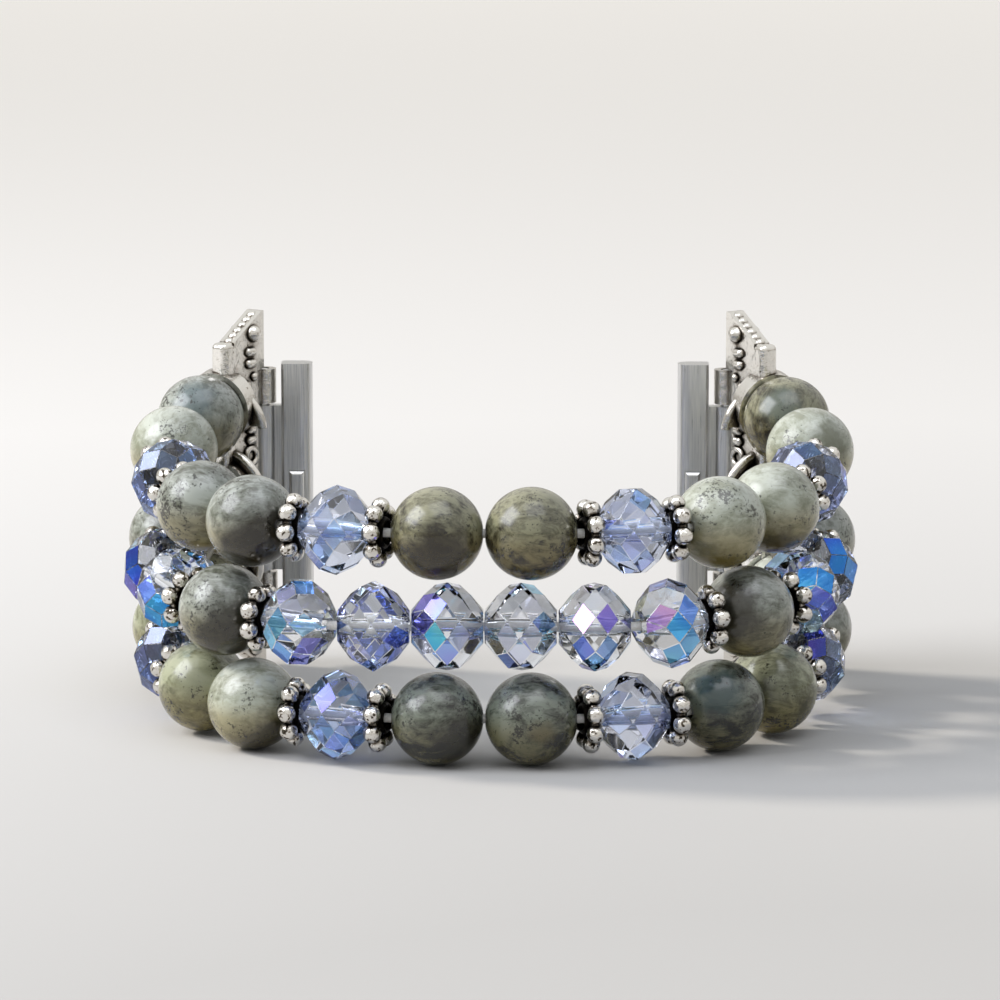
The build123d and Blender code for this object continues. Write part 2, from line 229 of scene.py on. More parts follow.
def makeFloor():
    # Painted plaster: pale and matt, with painted shade that greys it in front of the object and lets it pale
    # away from there
    bpy.ops.mesh.primitive_plane_add(size=stageLook["floorSize"])
    floor = bpy.context.object
    floor.name = "floor"
    material, tree, shader = newMaterial("painted plaster floor", {"Roughness": stageLook["floorRoughness"]})
    place = addNode(tree, "ShaderNodeTexCoord").outputs["Object"]
    away = addNode(tree, "ShaderNodeVectorMath", {0: place, 1: stageLook["paintedShadeMiddle"]}, operation="DISTANCE")
    near, far = stageLook["paintedShadeReach"]
    reach = addNode(tree, "ShaderNodeMapRange", {"Value": away.outputs["Value"], "From Min": near,
                                                 "From Max": far})
    # painted shade: the floor's colour greys towards the place in front of the object
    tone = addNode(tree, "ShaderNodeValToRGB", {"Fac": reach.outputs[0]}, stops=stageLook["paintedShadeTones"])
    tree.links.new(tone.outputs["Color"], shader.inputs["Base Color"])
    floor.data.materials.append(material)


def makeSurroundings():
    # An even sky lights the object, and a pale room shows behind it, in its gloss and through it
    world = bpy.data.worlds.new("pale room")
    bpy.context.scene.world = world
    world.use_nodes = True
    tree = world.node_tree
    tree.nodes.clear()
    rays = addNode(tree, "ShaderNodeLightPath").outputs
    seen = addNode(tree, "ShaderNodeMath", {0: rays["Is Camera Ray"], 1: rays["Is Glossy Ray"]},
                   operation="MAXIMUM")
    seenThrough = addNode(tree, "ShaderNodeMath", {0: seen.outputs[0], 1: rays["Is Transmission Ray"]},
                          operation="MAXIMUM")
    sky = addNode(tree, "ShaderNodeBackground", {"Color": hexColour(stageLook["sky"]),
                                                 "Strength": stageLook["skyStrength"]})
    way = addNode(tree, "ShaderNodeTexCoord").outputs["Generated"]
    up = addNode(tree, "ShaderNodeSeparateXYZ", {0: way}).outputs["Z"]
    height = addNode(tree, "ShaderNodeMapRange", {"Value": up, "From Min": -1.0, "From Max": 1.0})
    around = addNode(tree, "ShaderNodeValToRGB", {"Fac": height.outputs[0]}, stops=stageLook["surroundings"])
    shown = addNode(tree, "ShaderNodeBackground", {"Color": around.outputs["Color"], "Strength": 1.0})
    mixed = addNode(tree, "ShaderNodeMixShader", {0: seenThrough.outputs[0], 1: sky.outputs[0],
                                                  2: shown.outputs[0]})
    addNode(tree, "ShaderNodeOutputWorld", {"Surface": mixed.outputs[0]})


def makeLamp(name, lamp):
    aim = (target - Vector(lamp["from"])).to_track_quat("-Z", "Y")
    bpy.ops.object.light_add(type=lamp["kind"], location=lamp["from"], rotation=aim.to_euler())
    light = bpy.context.object
    light.name = name
    if lamp["kind"] == "SUN":
        light.data.angle = lamp["size"]
    else:
        light.data.size = lamp["size"]
    light.data.energy = lamp["power"]
    light.data.color = hexColour(lamp["colour"])[:3]
    # the gloss on the beads comes from the wide lamps alone
    light.visible_glossy = lamp["kind"] != "SUN"


makeFloor()
makeSurroundings()
for name, lamp in lamps.items():
    makeLamp(name, lamp)
print("stage and lamps made")


# Stones: polished labradorite, grey-green and a little translucent, with fine black specks, clouds
# and brown fibres, and on most a patch of another colour
stoneLook = {"radius": 3.99, "bore": 0.62, "lip": 0.1, "lipSteps": 3, "segments": 64, "rings": 40,
             "smoothAngle": 50, "turn": 1.3, "openShare": 0.8, "lipShare": 1.15, "flatRing": 0.01}
stoneColours = {
    # body, cloud, vein, how much vein, how much speck
    "olive": ("#2e2a18", "#8b8a72", "#0f0d08", 0.80, 0.85),
    "pale": ("#8b8f7f", "#b9beb4", "#4f4b33", 0.32, 0.80),
    "grey": ("#5a5e54", "#a0a5a0", "#2f2c20", 0.55, 0.85),
    "moss": ("#5d5f45", "#a1a58d", "#2d2a17", 0.50, 0.85),
    "dark": ("#20231d", "#7d847a", "#0d0c09", 0.70, 0.85),
}
stoneKinds = {
    # colours, and the patch's direction, colour and size in mm
    "top_left_1": ("olive", ((0.1, -0.9, -0.35), "#2a2414", 2.6)), "top_right_1": ("olive", None),
    "top_left_3": ("grey", ((0.35, -0.75, -0.6), "#1a1206", 4.3)),
    "top_left_4": ("grey", ((0.5, -0.7, -0.2), "#6b6a50", 1.8)),
    "top_left_6": ("pale", ((0.2, -0.6, -0.9), "#6f705a", 1.8)),
    "top_left_7": ("grey", ((-0.1, -0.8, 0.6), "#5e6d70", 1.8)),
    "top_right_3": ("pale", ((0.1, -0.6, -0.9), "#7b7a55", 2.2)),
    "top_right_4": ("pale", ((0.0, -0.6, -0.9), "#4a4632", 2.6)),
    "top_right_6": ("pale", ((0.5, -0.7, 0.3), "#6d705f", 2.0)),
    "top_right_7": ("olive", ((-0.2, -0.9, 0.5), "#59635a", 1.8)),
    "middle_left_4": ("grey", ((0.3, -0.9, -0.45), "#1a170c", 3.6)),
    "middle_right_4": ("grey", ((-0.45, -0.9, 0.1), "#2b2820", 3.0)),
    "middle_left_7": ("grey", None), "middle_right_7": ("grey", None),
    "middle_left_8": ("grey", None), "middle_right_8": ("olive", None),
    "bottom_left_1": ("dark", ((0.6, -0.8, -0.3), "#17150e", 2.4)),
    "bottom_right_1": ("dark", ((0.25, -0.9, -0.1), "#7a7760", 0.9)),
    "bottom_left_3": ("pale", ((0.4, -0.6, -0.8), "#2f2c1b", 2.9)),
    "bottom_left_4": ("moss", ((-0.1, -0.8, 0.2), "#8d9079", 2.0)),
    "bottom_right_3": ("dark", ((0.0, -0.8, 0.5), "#2f464a", 2.2)),
    "bottom_right_4": ("moss", ((-0.3, -0.95, 0.15), "#1d1c12", 1.0)),
    "bottom_left_6": ("moss", None), "bottom_right_6": ("grey", None),
    "bottom_left_7": ("olive", None), "bottom_right_7": ("pale", None),
}
# noise cells for each mm
stoneCells = {"cloud": 0.33, "mottle": 1.05, "fibre": 1.9, "veinZone": 0.19, "patchEdge": 0.52, "speck": 3.3,
              "speckGroup": 0.3}
stonePaint = {
    # turns of the fibres for each mm of the bead's place, and how far they are drawn out
    "fibreTurns": (0.6, 0.4, 0.3), "fibreStretch": 0.38,
    "mottleShare": 0.8, "groundStops": (0.74, 0.98), "fibreRange": (0.50, 0.64), "veinRange": (0.42, 0.62),
    # in mm: how wavy the patch's edge is, and where it fades inside its size
    "patchWave": 3.2, "patchFade": (2.4, 1.0), "patchCover": 0.86,
    "groupShare": 1.1, "speckRange": (1.19, 1.24), "speck": "#15140f", "pitDepth": 0.03, "pitStrength": 0.25,
    # painted shade: the colour is multiplied darker and browner towards the bottom and left as it is at the
    # top
    "paintedShadeStops": [(0.12, "#cbb680"), (0.42, "#dccfae"), (0.62, "#f6f6ee"), (0.95, "#ffffff")],
    "roughness": (0.16, 0.30),
}
stoneShader = {
    "IOR": 1.56, "Coat Weight": 0.24, "Coat Roughness": 0.10,
    "Sheen Weight": 0.05, "Sheen Roughness": 0.35, "Sheen Tint": hexColour("#e2e6dc"),
    "Subsurface Weight": 0.12, "Subsurface Radius": (1.0, 0.95, 0.75), "Subsurface Scale": 0.9 * mm,
}


def stoneGround(tree, drift, clouds, kind):
    # The body with its clouds, mottling and veins
    body, cloud, vein, veinShare = stoneColours[kind][:4]
    # mottling of 0.5 to 1 mm, drawn out along the fibres
    stretched = addNode(tree, "ShaderNodeMapping", {"Vector": drift,
                                                    "Scale": (1.0, 1.0, stonePaint["fibreStretch"])})
    mottle = addNode(tree, "ShaderNodeTexNoise", {
        "Vector": stretched.outputs[0], "Scale": stoneCells["mottle"] / mm, "Detail": 8.0,
        "Roughness": 0.74, "Distortion": 0.9})
    streaked = addNode(tree, "ShaderNodeMath", {
        0: mottle.outputs["Fac"], 1: stonePaint["mottleShare"], 2: clouds}, operation="MULTIPLY_ADD")
    ground = addNode(tree, "ShaderNodeValToRGB", {"Fac": streaked.outputs[0]},
                     stops=list(zip(stonePaint["groundStops"], (body, cloud))))
    # fibres about 0.25 mm wide and three times as long, in zones about 5 mm across
    fibres = addNode(tree, "ShaderNodeTexNoise", {
        "Vector": stretched.outputs[0], "Scale": stoneCells["fibre"] / mm, "Detail": 3.0, "Distortion": 0.6})
    least, most = stonePaint["fibreRange"]
    fibreMask = addNode(tree, "ShaderNodeMapRange", {"Value": fibres.outputs["Fac"], "From Min": least,
                                                     "From Max": most, "To Max": veinShare})
    zones = addNode(tree, "ShaderNodeTexNoise", {"Vector": drift, "Scale": stoneCells["veinZone"] / mm,
                                                 "Detail": 2.0})
    least, most = stonePaint["veinRange"]
    zoneMask = addNode(tree, "ShaderNodeMapRange", {"Value": zones.outputs["Fac"], "From Min": least,
                                                    "From Max": most})
    veins = addNode(tree, "ShaderNodeMath", {0: fibreMask.outputs[0], 1: zoneMask.outputs[0]},
                    operation="MULTIPLY")
    veined = addNode(tree, "ShaderNodeMix", {"Factor": veins.outputs[0], "A": ground.outputs["Color"],
                                             "B": hexColour(vein)}, data_type="RGBA")
    return veined.outputs["Result"]


def stonePatch(tree, place, centre, patch, below):
    # A patch of another colour with a wavy, soft edge
    direction, colour, size = patch
    middle = centre + Vector(direction).normalized() * stoneLook["radius"] * mm
    edge = addNode(tree, "ShaderNodeTexNoise", {"Vector": place, "Scale": stoneCells["patchEdge"] / mm,
                                                "Detail": 5.0, "Roughness": 0.65})
    away = addNode(tree, "ShaderNodeVectorMath", {0: place, 1: middle}, operation="DISTANCE")
    wavy = addNode(tree, "ShaderNodeMath", {
        0: edge.outputs["Fac"], 1: -stonePaint["patchWave"] * mm, 2: away.outputs["Value"]},
        operation="MULTIPLY_ADD")
    inner, outer = [(size - fade) * mm for fade in stonePaint["patchFade"]]
    mask = addNode(tree, "ShaderNodeMapRange", {
        "Value": wavy.outputs[0], "From Min": inner, "From Max": outer, "To Min": stonePaint["patchCover"],
        "To Max": 0.0})
    return addNode(tree, "ShaderNodeMix", {"Factor": mask.outputs[0], "A": below, "B": hexColour(colour)},
                   data_type="RGBA").outputs["Result"]


def speckMask(tree, drift, share):
    # Black specks of 0.1 to 0.3 mm, in loose groups about 3 mm across
    specks = addNode(tree, "ShaderNodeTexNoise", {"Vector": drift, "Scale": stoneCells["speck"] / mm,
                                                  "Detail": 3.0, "Roughness": 0.75})
    groups = addNode(tree, "ShaderNodeTexNoise", {"Vector": drift, "Scale": stoneCells["speckGroup"] / mm,
                                                  "Detail": 4.0, "Roughness": 0.65})
    both = addNode(tree, "ShaderNodeMath", {
        0: groups.outputs["Fac"], 1: stonePaint["groupShare"], 2: specks.outputs["Fac"]},
        operation="MULTIPLY_ADD")
    least, most = stonePaint["speckRange"]
    return addNode(tree, "ShaderNodeMapRange", {"Value": both.outputs[0], "From Min": least, "From Max": most,
                                                "To Max": share}).outputs[0]


def labradorite(name, kind, patch, centre):
    material, tree, shader = newMaterial(f"polished labradorite {name}", stoneShader)
    place = addNode(tree, "ShaderNodeTexCoord").outputs["Object"]
    turns = stonePaint["fibreTurns"]
    fibreWay = (turns[0] * centre.x / mm, turns[1] * centre.z / mm, turns[2] * centre.y / mm)
    drift = addNode(tree, "ShaderNodeMapping", {"Vector": place, "Rotation": fibreWay}).outputs[0]
    # clouds about 3 mm across
    clouds = addNode(tree, "ShaderNodeTexNoise", {
        "Vector": drift, "Scale": stoneCells["cloud"] / mm, "Detail": 6.0, "Roughness": 0.62,
        "Distortion": 0.4}).outputs["Fac"]
    colour = stoneGround(tree, drift, clouds, kind)
    if patch:
        colour = stonePatch(tree, place, centre, patch, colour)
    specks = speckMask(tree, drift, stoneColours[kind][-1])
    colour = addNode(tree, "ShaderNodeMix", {
        "Factor": specks, "A": colour, "B": hexColour(stonePaint["speck"])},
        data_type="RGBA").outputs["Result"]
    # painted shade: each stone is coloured darker and browner towards its bottom
    up = addNode(tree, "ShaderNodeSeparateXYZ", {0: place}).outputs["Z"]
    paintedShadeHeight = addNode(tree, "ShaderNodeMapRange", {"Value": up, "From Min": centre.z - stoneLook["radius"] * mm,
                                                 "From Max": centre.z + stoneLook["radius"] * mm})
    paintedShade = addNode(tree, "ShaderNodeValToRGB", {"Fac": paintedShadeHeight.outputs[0]}, stops=stonePaint["paintedShadeStops"])
    colour = addNode(tree, "ShaderNodeMix", {"Factor": 1.0, "A": colour, "B": paintedShade.outputs["Color"]},
                     data_type="RGBA", blend_type="MULTIPLY").outputs["Result"]
    tree.links.new(colour, shader.inputs["Base Color"])
    glossy, dull = stonePaint["roughness"]
    polish = addNode(tree, "ShaderNodeMapRange", {"Value": clouds, "To Min": glossy, "To Max": dull})
    tree.links.new(polish.outputs[0], shader.inputs["Roughness"])
    pits = addNode(tree, "ShaderNodeBump", {"Height": specks, "Strength": stonePaint["pitStrength"],
                                            "Distance": stonePaint["pitDepth"] * mm}, invert=True)
    tree.links.new(pits.outputs[0], shader.inputs["Normal"])
    return material


def makeStone():
    # A turned ball with a drilled bore and softened lips
    bpy.ops.object.select_all(action="DESELECT")
    bpy.ops.mesh.primitive_uv_sphere_add(segments=stoneLook["segments"], ring_count=stoneLook["rings"],
                                         radius=stoneLook["radius"] * mm)
    stone = bpy.context.object
    bpy.ops.object.mode_set(mode="EDIT")
    openRadius = stoneLook["openShare"] * stoneLook["bore"] * mm
    selectParts(stone, "verts", lambda v: hypot(v.co.x, v.co.y) < openRadius)
    bpy.ops.mesh.delete(type="VERT")
    bpy.ops.mesh.select_all(action="DESELECT")
    bpy.ops.mesh.select_mode(type="EDGE")
    bpy.ops.mesh.select_non_manifold()
    bpy.ops.mesh.bridge_edge_loops()
    lipRadius = stoneLook["lipShare"] * stoneLook["bore"] * mm
    selectParts(stone, "edges", lambda e: all(hypot(v.co.x, v.co.y) < lipRadius for v in e.verts)
                and abs(e.verts[0].co.z - e.verts[1].co.z) < stoneLook["flatRing"] * mm)
    bpy.ops.mesh.bevel(offset=stoneLook["lip"] * mm, segments=stoneLook["lipSteps"])
    bpy.ops.mesh.select_all(action="SELECT")
    bpy.ops.mesh.normals_make_consistent(inside=False)
    bpy.ops.object.mode_set(mode="OBJECT")
    bpy.ops.object.shade_smooth_by_angle(angle=radians(stoneLook["smoothAngle"]))
    return stone


def beadPlace(name):
    joint = joints[f"spin_{name}"]
    return Vector(joint["pos_m"]), Vector(joint["axis"]).normalized()


stonePattern = makeStone()
for number, (name, (kind, patch)) in enumerate(stoneKinds.items()):
    centre, axis = beadPlace(f"stone_{name}")
    stone = placedCopy(stonePattern, f"stone_{name}_polished", centre, axis, number * stoneLook["turn"])
    material = labradorite(name, kind, patch, centre)
    finishPiece(stone, material, f"stone_{name}", "labradorite", f"stone_{name}")
bpy.data.objects.remove(stonePattern)
print("stones made")


# Cut glass crystals: clear or pale blue, flat facets with a vapour film that turns some of them
# cobalt, cyan and violet
crystalLook = {"bevel": 0.05, "bevelAngle": 8,
               # a direction names the facets within this cosine of it
               "facetReach": 0.93,
               # mm and mm2: facets inside the bore and slivers carry no film
               "outerRadius": 1.0, "leastFacet": 0.25,
               # facets that look down carry more film than the others, and one without film shows this
               "filmBelow": 1.5, "filmAbove": 0.6, "bareCover": 0.03,
               # noise cells for each mm: the film's thickness drifts over about 4 mm
               "driftCells": 0.26, "driftShare": 0.4}
filmStops = [(0.0, "#d58ad6"), (0.14, "#8a55d8"), (0.28, "#4a3fd6"), (0.42, "#2b5fe0"), (0.58, "#2f97ea"),
             (0.72, "#49c3e6"), (0.86, "#8fd9c4"), (1.0, "#e8c79a")]
crystalKinds = {
    # body colour, how many facets carry strong film, how metallic it is, its tones, how much it hides
    "blue": {"body": "#e2e8f8", "filmed": 0.40, "strength": 0.30, "range": (0.42, 0.58), "cover": (0.3, 0.8)},
    "clear": {"body": "#f3f5fa", "filmed": 0.30, "strength": 0.65, "range": (0.34, 0.8), "cover": (0.3, 0.9)},
}
crystalShader = {"Roughness": 0.03, "IOR": 1.55, "Transmission Weight": 1.0}
# facets that show most: direction, film tone, cover
facetTones = {
    "middle_left_3": [((-0.55, -0.8, 0.4), 0.16, 0.6), ((-0.75, -0.8, -0.15), 0.66, 0.9),
                      ((-0.2, -0.85, -0.55), 0.55, 0.9), ((0.25, -0.8, -0.5), 0.32, 0.8)],
    "middle_left_2": [((-0.3, -0.9, 0.35), 0.5, 0.0), ((0.3, -0.9, 0.35), 0.32, 0.12),
                      ((-0.3, -0.9, -0.35), 0.32, 0.15), ((0.3, -0.9, -0.35), 0.5, 0.2),
                      ((0.0, -0.95, 0.1), 0.45, 0.0), ((0.0, -0.7, -0.7), 0.5, 0.7)],
    "middle_left_1": [((-0.3, -0.9, 0.35), 0.56, 1.0), ((-0.3, -0.9, -0.35), 0.66, 1.0),
                      ((0.3, -0.9, -0.35), 0.44, 0.5), ((-0.7, -0.6, 0.4), 0.26, 0.9),
                      ((0.0, -0.7, -0.7), 0.46, 0.8), ((0.3, -0.9, 0.35), 0.4, 0.05)],
    "middle_right_1": [((0.0, -0.95, 0.3), 0.3, 0.05), ((0.0, -0.95, -0.3), 0.44, 0.15),
                       ((0.3, -0.9, 0.35), 0.2, 0.15), ((-0.3, -0.9, 0.35), 0.3, 0.08),
                       ((0.3, -0.9, -0.35), 0.48, 0.3), ((-0.3, -0.9, -0.35), 0.44, 0.35)],
    "middle_right_2": [((-0.4, -0.85, 0.3), 0.04, 0.9), ((0.35, -0.9, 0.25), 0.20, 0.9),
                       ((0.0, -0.85, -0.5), 0.60, 0.9), ((-0.4, -0.75, -0.5), 0.44, 0.9),
                       ((0.4, -0.75, -0.55), 0.56, 0.8)],
    "middle_right_3": [((-0.3, -0.9, 0.2), 0.06, 0.85), ((0.25, -0.95, 0.1), 0.60, 1.0),
                       ((0.6, -0.8, 0.3), 0.56, 0.9), ((0.2, -0.8, -0.5), 0.62, 0.9)],
    "middle_left_5": [((-0.6, -0.8, 0.0), 0.42, 0.9), ((-0.2, -0.8, -0.4), 0.60, 1.0)],
    "middle_left_6": [((-0.8, -0.6, 0.1), 0.34, 1.0), ((-0.6, -0.6, -0.5), 0.26, 0.9)],
    "middle_right_5": [((0.2, -0.8, 0.4), 0.56, 1.0), ((0.4, -0.8, -0.1), 0.34, 0.9)],
    "middle_right_6": [((0.7, -0.6, 0.4), 0.44, 1.0), ((0.8, -0.5, 0.0), 0.52, 0.9)],
    "bottom_left_2": [((-0.1, -0.8, 0.6), 0.30, 0.9), ((0.0, -0.8, -0.5), 0.42, 0.8)],
    "bottom_right_5": [((0.2, -0.7, 0.6), 0.34, 1.0), ((0.8, -0.6, 0.1), 0.48, 0.5),
                       ((0.6, -0.6, -0.5), 0.5, 0.6)],
    "top_right_5": [((0.8, -0.6, 0.2), 0.34, 0.9), ((0.5, -0.6, 0.6), 0.5, 0.5),
                    ((0.6, -0.8, -0.2), 0.46, 0.6)],
    "top_left_5": [((-0.5, -0.6, 0.6), 0.5, 0.4), ((-0.8, -0.6, 0.2), 0.48, 0.6),
                   ((-0.6, -0.7, -0.4), 0.46, 0.7)],
    "bottom_left_5": [((-0.6, -0.7, 0.4), 0.5, 0.5), ((-0.8, -0.6, -0.1), 0.47, 0.7),
                      ((-0.5, -0.6, -0.6), 0.44, 0.7)],
}


def cutGlass(kind):
    look = crystalKinds[kind]
    material, tree, shader = newMaterial(f"filmed cut glass {kind}", crystalShader)
    place = addNode(tree, "ShaderNodeTexCoord").outputs["Object"]
    film = addNode(tree, "ShaderNodeAttribute", attribute_name="film", attribute_type="GEOMETRY")
    cover = addNode(tree, "ShaderNodeAttribute", attribute_name="cover", attribute_type="GEOMETRY")
    drift = addNode(tree, "ShaderNodeTexNoise", {"Vector": place, "Scale": crystalLook["driftCells"] / mm,
                                                 "Detail": 1.0})
    shift = addNode(tree, "ShaderNodeMath", {
        0: drift.outputs["Fac"], 1: crystalLook["driftShare"], 2: film.outputs["Fac"]},
        operation="MULTIPLY_ADD")
    # the noise has a mean of 0.5, which this takes off again
    tone = addNode(tree, "ShaderNodeMath", {0: shift.outputs[0], 1: 0.5 * crystalLook["driftShare"]},
                   operation="SUBTRACT", use_clamp=True)
    colours = addNode(tree, "ShaderNodeValToRGB", {"Fac": tone.outputs[0]}, stops=filmStops)
    tinted = addNode(tree, "ShaderNodeMix", {"Factor": cover.outputs["Fac"], "A": hexColour(look["body"]),
                                             "B": colours.outputs["Color"]}, data_type="RGBA")
    tree.links.new(tinted.outputs["Result"], shader.inputs["Base Color"])
    mirror = addNode(tree, "ShaderNodeMath", {0: cover.outputs["Fac"], 1: look["strength"]},
                     operation="MULTIPLY")
    tree.links.new(mirror.outputs[0], shader.inputs["Metallic"])
    return material


def makeCrystal(name, kind, seed):
    # The cut shape with its flat facets merged and their edges barely broken
    centre, axis = beadPlace(name)
    piece = mergedCopy(name, f"{name}_cut")
    bevelEdges(piece, crystalLook["bevel"], 1, crystalLook["bevelAngle"])
    mesh = piece.data
    mesh.polygons.foreach_set("use_smooth", [False] * len(mesh.polygons))
    look = crystalKinds[kind]
    film = mesh.attributes.new("film", "FLOAT", "FACE")
    cover = mesh.attributes.new("cover", "FLOAT", "FACE")
    chosen = facetTones.get(name.removeprefix("crystal_"), [])
    for polygon in mesh.polygons:
        chance = random.Random(f"{seed} {[round(c, 2) for c in polygon.normal]}")
        wide = polygon.area > crystalLook["leastFacet"] * mm * mm
        outer = wide and (polygon.center - centre).cross(axis).length > crystalLook["outerRadius"] * mm
        bias = crystalLook["filmBelow" if polygon.normal.z < 0 else "filmAbove"]
        filmed = outer and chance.random() < look["filmed"] * bias
        tone = chance.uniform(*look["range"])
        hidden = chance.uniform(*look["cover"]) if filmed else crystalLook["bareCover"]
        for direction, facetTone, facetCover in chosen:
            if outer and polygon.normal.dot(Vector(direction).normalized()) > crystalLook["facetReach"]:
                tone, hidden = facetTone, facetCover
        film.data[polygon.index].value = tone
        cover.data[polygon.index].value = hidden
    return piece


glass = {kind: cutGlass(kind) for kind in crystalKinds}
crystalNames = sorted(name for name in nodes if name.startswith("crystal_"))
for seed, name in enumerate(crystalNames):
    kind = "clear" if "middle" in name else "blue"
    finishPiece(makeCrystal(name, kind, seed), glass[kind], name, f"{kind}_crystal", name)
print("crystals made")


# Antique silver: cast, bright where it is rubbed and black with oxide in the recesses
silverLook = {
    "tones": [(0.66, "#0d0b09"), (0.84, "#4f493f"), (0.97, "#a3978a"), (1.0, "#dedbd5")],
    # noise cells for each mm: unevenness 0.7 mm across, stains 1.1 mm, pits 0.1 to 0.2 mm at their peaks
    "hammer": 1.5, "stain": 0.9, "pit": 2.6,
    "stainShare": 0.30, "pitWidth": 0.10, "pitShade": -0.35, "recessShade": -0.4,
    "wornRange": (0.5, 1.0), "roughness": (0.6, 0.2), "reliefStrength": 0.8,
}
# in mm how deep the cast skin's relief is and how wide its recesses are, and the noise at which pits begin
silverKinds = {
    "cast antique silver": (0.10, 1.6, 0.66),
    "cast antique silver granules": (0.20, 0.9, 0.54),
}


def antiqueSilver(name):
    reliefDepth, recessReach, pitFrom = silverKinds[name]
    material, tree, shader = newMaterial(name, {"Metallic": 1.0})
    place = addNode(tree, "ShaderNodeTexCoord").outputs["Object"]
    hollow = addNode(tree, "ShaderNodeAmbientOcclusion", {"Distance": recessReach * mm}, samples=8,
                     only_local=True)
    hammer = addNode(tree, "ShaderNodeTexNoise", {"Vector": place, "Scale": silverLook["hammer"] / mm,
                                                  "Detail": 3.0})
    stain = addNode(tree, "ShaderNodeTexNoise", {"Vector": place, "Scale": silverLook["stain"] / mm,
                                                 "Detail": 4.0, "Roughness": 0.7})
    pits = addNode(tree, "ShaderNodeTexNoise", {"Vector": place, "Scale": silverLook["pit"] / mm,
                                                "Detail": 3.0})
    pitted = addNode(tree, "ShaderNodeMapRange", {
        "Value": pits.outputs["Fac"], "From Min": pitFrom, "From Max": pitFrom + silverLook["pitWidth"],
        "To Max": silverLook["pitShade"]})
    # the daisies carry a mark on what lies inside their ring
    recess = addNode(tree, "ShaderNodeAttribute", attribute_name="recess", attribute_type="GEOMETRY")
    shaded = addNode(tree, "ShaderNodeMath", {
        0: recess.outputs["Fac"], 1: silverLook["recessShade"], 2: hollow.outputs["AO"]},
        operation="MULTIPLY_ADD")
    deep = addNode(tree, "ShaderNodeMath", {0: pitted.outputs[0], 1: shaded.outputs[0]}, operation="ADD")
    worn = addNode(tree, "ShaderNodeMath", {
        0: stain.outputs["Fac"], 1: silverLook["stainShare"], 2: deep.outputs[0]}, operation="MULTIPLY_ADD")
    tone = addNode(tree, "ShaderNodeValToRGB", {"Fac": worn.outputs[0]}, stops=silverLook["tones"])
    tree.links.new(tone.outputs["Color"], shader.inputs["Base Color"])
    least, most = silverLook["wornRange"]
    matt, bright = silverLook["roughness"]
    dull = addNode(tree, "ShaderNodeMapRange", {"Value": worn.outputs[0], "From Min": least, "From Max": most,
                                                "To Min": matt, "To Max": bright})
    tree.links.new(dull.outputs[0], shader.inputs["Roughness"])
    relief = addNode(tree, "ShaderNodeBump", {
        "Height": hammer.outputs["Fac"], "Strength": silverLook["reliefStrength"],
        "Distance": reliefDepth * mm})
    tree.links.new(relief.outputs[0], shader.inputs["Normal"])
    return material


castSilver, daisySilver = [antiqueSilver(name) for name in silverKinds]
daisyLook = {
    "granules": 8, "granuleRadius": 0.8, "ringRadius": 2.2, "granuleSegments": 20, "granuleRings": 12,
    # radius, half thickness and how much taller than thick
    "hub": (1.125, 0.375, 2.0), "web": (1.75, 0.45, 0.89), "roundSegments": 40, "roundRings": 12,
    # from a crystal's centre to a daisy's, and how far round it the solid's points are searched
    "fromCrystal": 3.89, "searchRadius": 3.2,
    # the recess begins this share of a granule inside the ring
    "recessShare": 0.5,
}


def makeDaisy():
    # Eight granules in a ring, soldered to a thin web and a rounded hub
    bpy.ops.object.select_all(action="DESELECT")
    bpy.ops.mesh.primitive_uv_sphere_add(segments=daisyLook["granuleSegments"], location=(0, 0, 0),
                                         ring_count=daisyLook["granuleRings"],
                                         radius=daisyLook["granuleRadius"] * mm)
    daisy = bpy.context.object
    bpy.ops.object.mode_set(mode="EDIT")
    bpy.ops.mesh.select_all(action="SELECT")
    bpy.ops.transform.translate(value=(daisyLook["ringRadius"] * mm, 0, 0))
    count = daisyLook["granules"]
    bpy.ops.mesh.spin(steps=count - 1, dupli=True, angle=2 * pi * (count - 1) / count, center=(0, 0, 0),
                      axis=(0, 0, 1))
    for radius, halfWidth, tallness in (daisyLook["hub"], daisyLook["web"]):
        bpy.ops.mesh.select_all(action="DESELECT")
        bpy.ops.mesh.primitive_torus_add(major_radius=radius * mm, minor_radius=halfWidth * mm,
                                         major_segments=daisyLook["roundSegments"],
                                         minor_segments=daisyLook["roundRings"])
        bpy.ops.transform.resize(value=(1, 1, tallness))
    bpy.ops.object.mode_set(mode="OBJECT")
    bpy.ops.object.shade_smooth()
    recess = daisy.data.attributes.new("recess", "FLOAT", "POINT")
    inner = (daisyLook["ringRadius"] - daisyLook["recessShare"] * daisyLook["granuleRadius"]) * mm
    for vertex in daisy.data.vertices:
        recess.data[vertex.index].value = float(hypot(vertex.co.x, vertex.co.y) < inner)
    return daisy


def daisyTurn(centre, axis, points):
    # The angle of the first granule in the solid that this daisy stands for
    near = [p - centre for p in points if (p - centre).length < daisyLook["searchRadius"] * mm]
    outermost = max(near, key=lambda p: p.cross(axis).length)
    stand = axis.to_track_quat("Z", "Y")
    across = stand.inverted() @ outermost
    return atan2(across.y, across.x)


def daisyPlaces():
    # Centres and thread directions by node: crystal's number, outward or inward, section of the band
    middleBeads = ((3, 1, "front"), (5, -1, "side"), (6, 1, "side"))
    outerBeads = ((2, -1, "front"), (2, 1, "front"), (5, -1, "side"), (5, 1, "side"))
    places = {}
    for side in sideNames:
        for row in rowNames:
            for number, way, section in middleBeads if row == "middle" else outerBeads:
                centre, axis = beadPlace(f"crystal_{row}_{side}_{number}")
                daisyCentre = centre + axis * way * daisyLook["fromCrystal"] * mm
                places.setdefault(f"daisies_{section}_{side}", []).append((daisyCentre, axis))
    return places


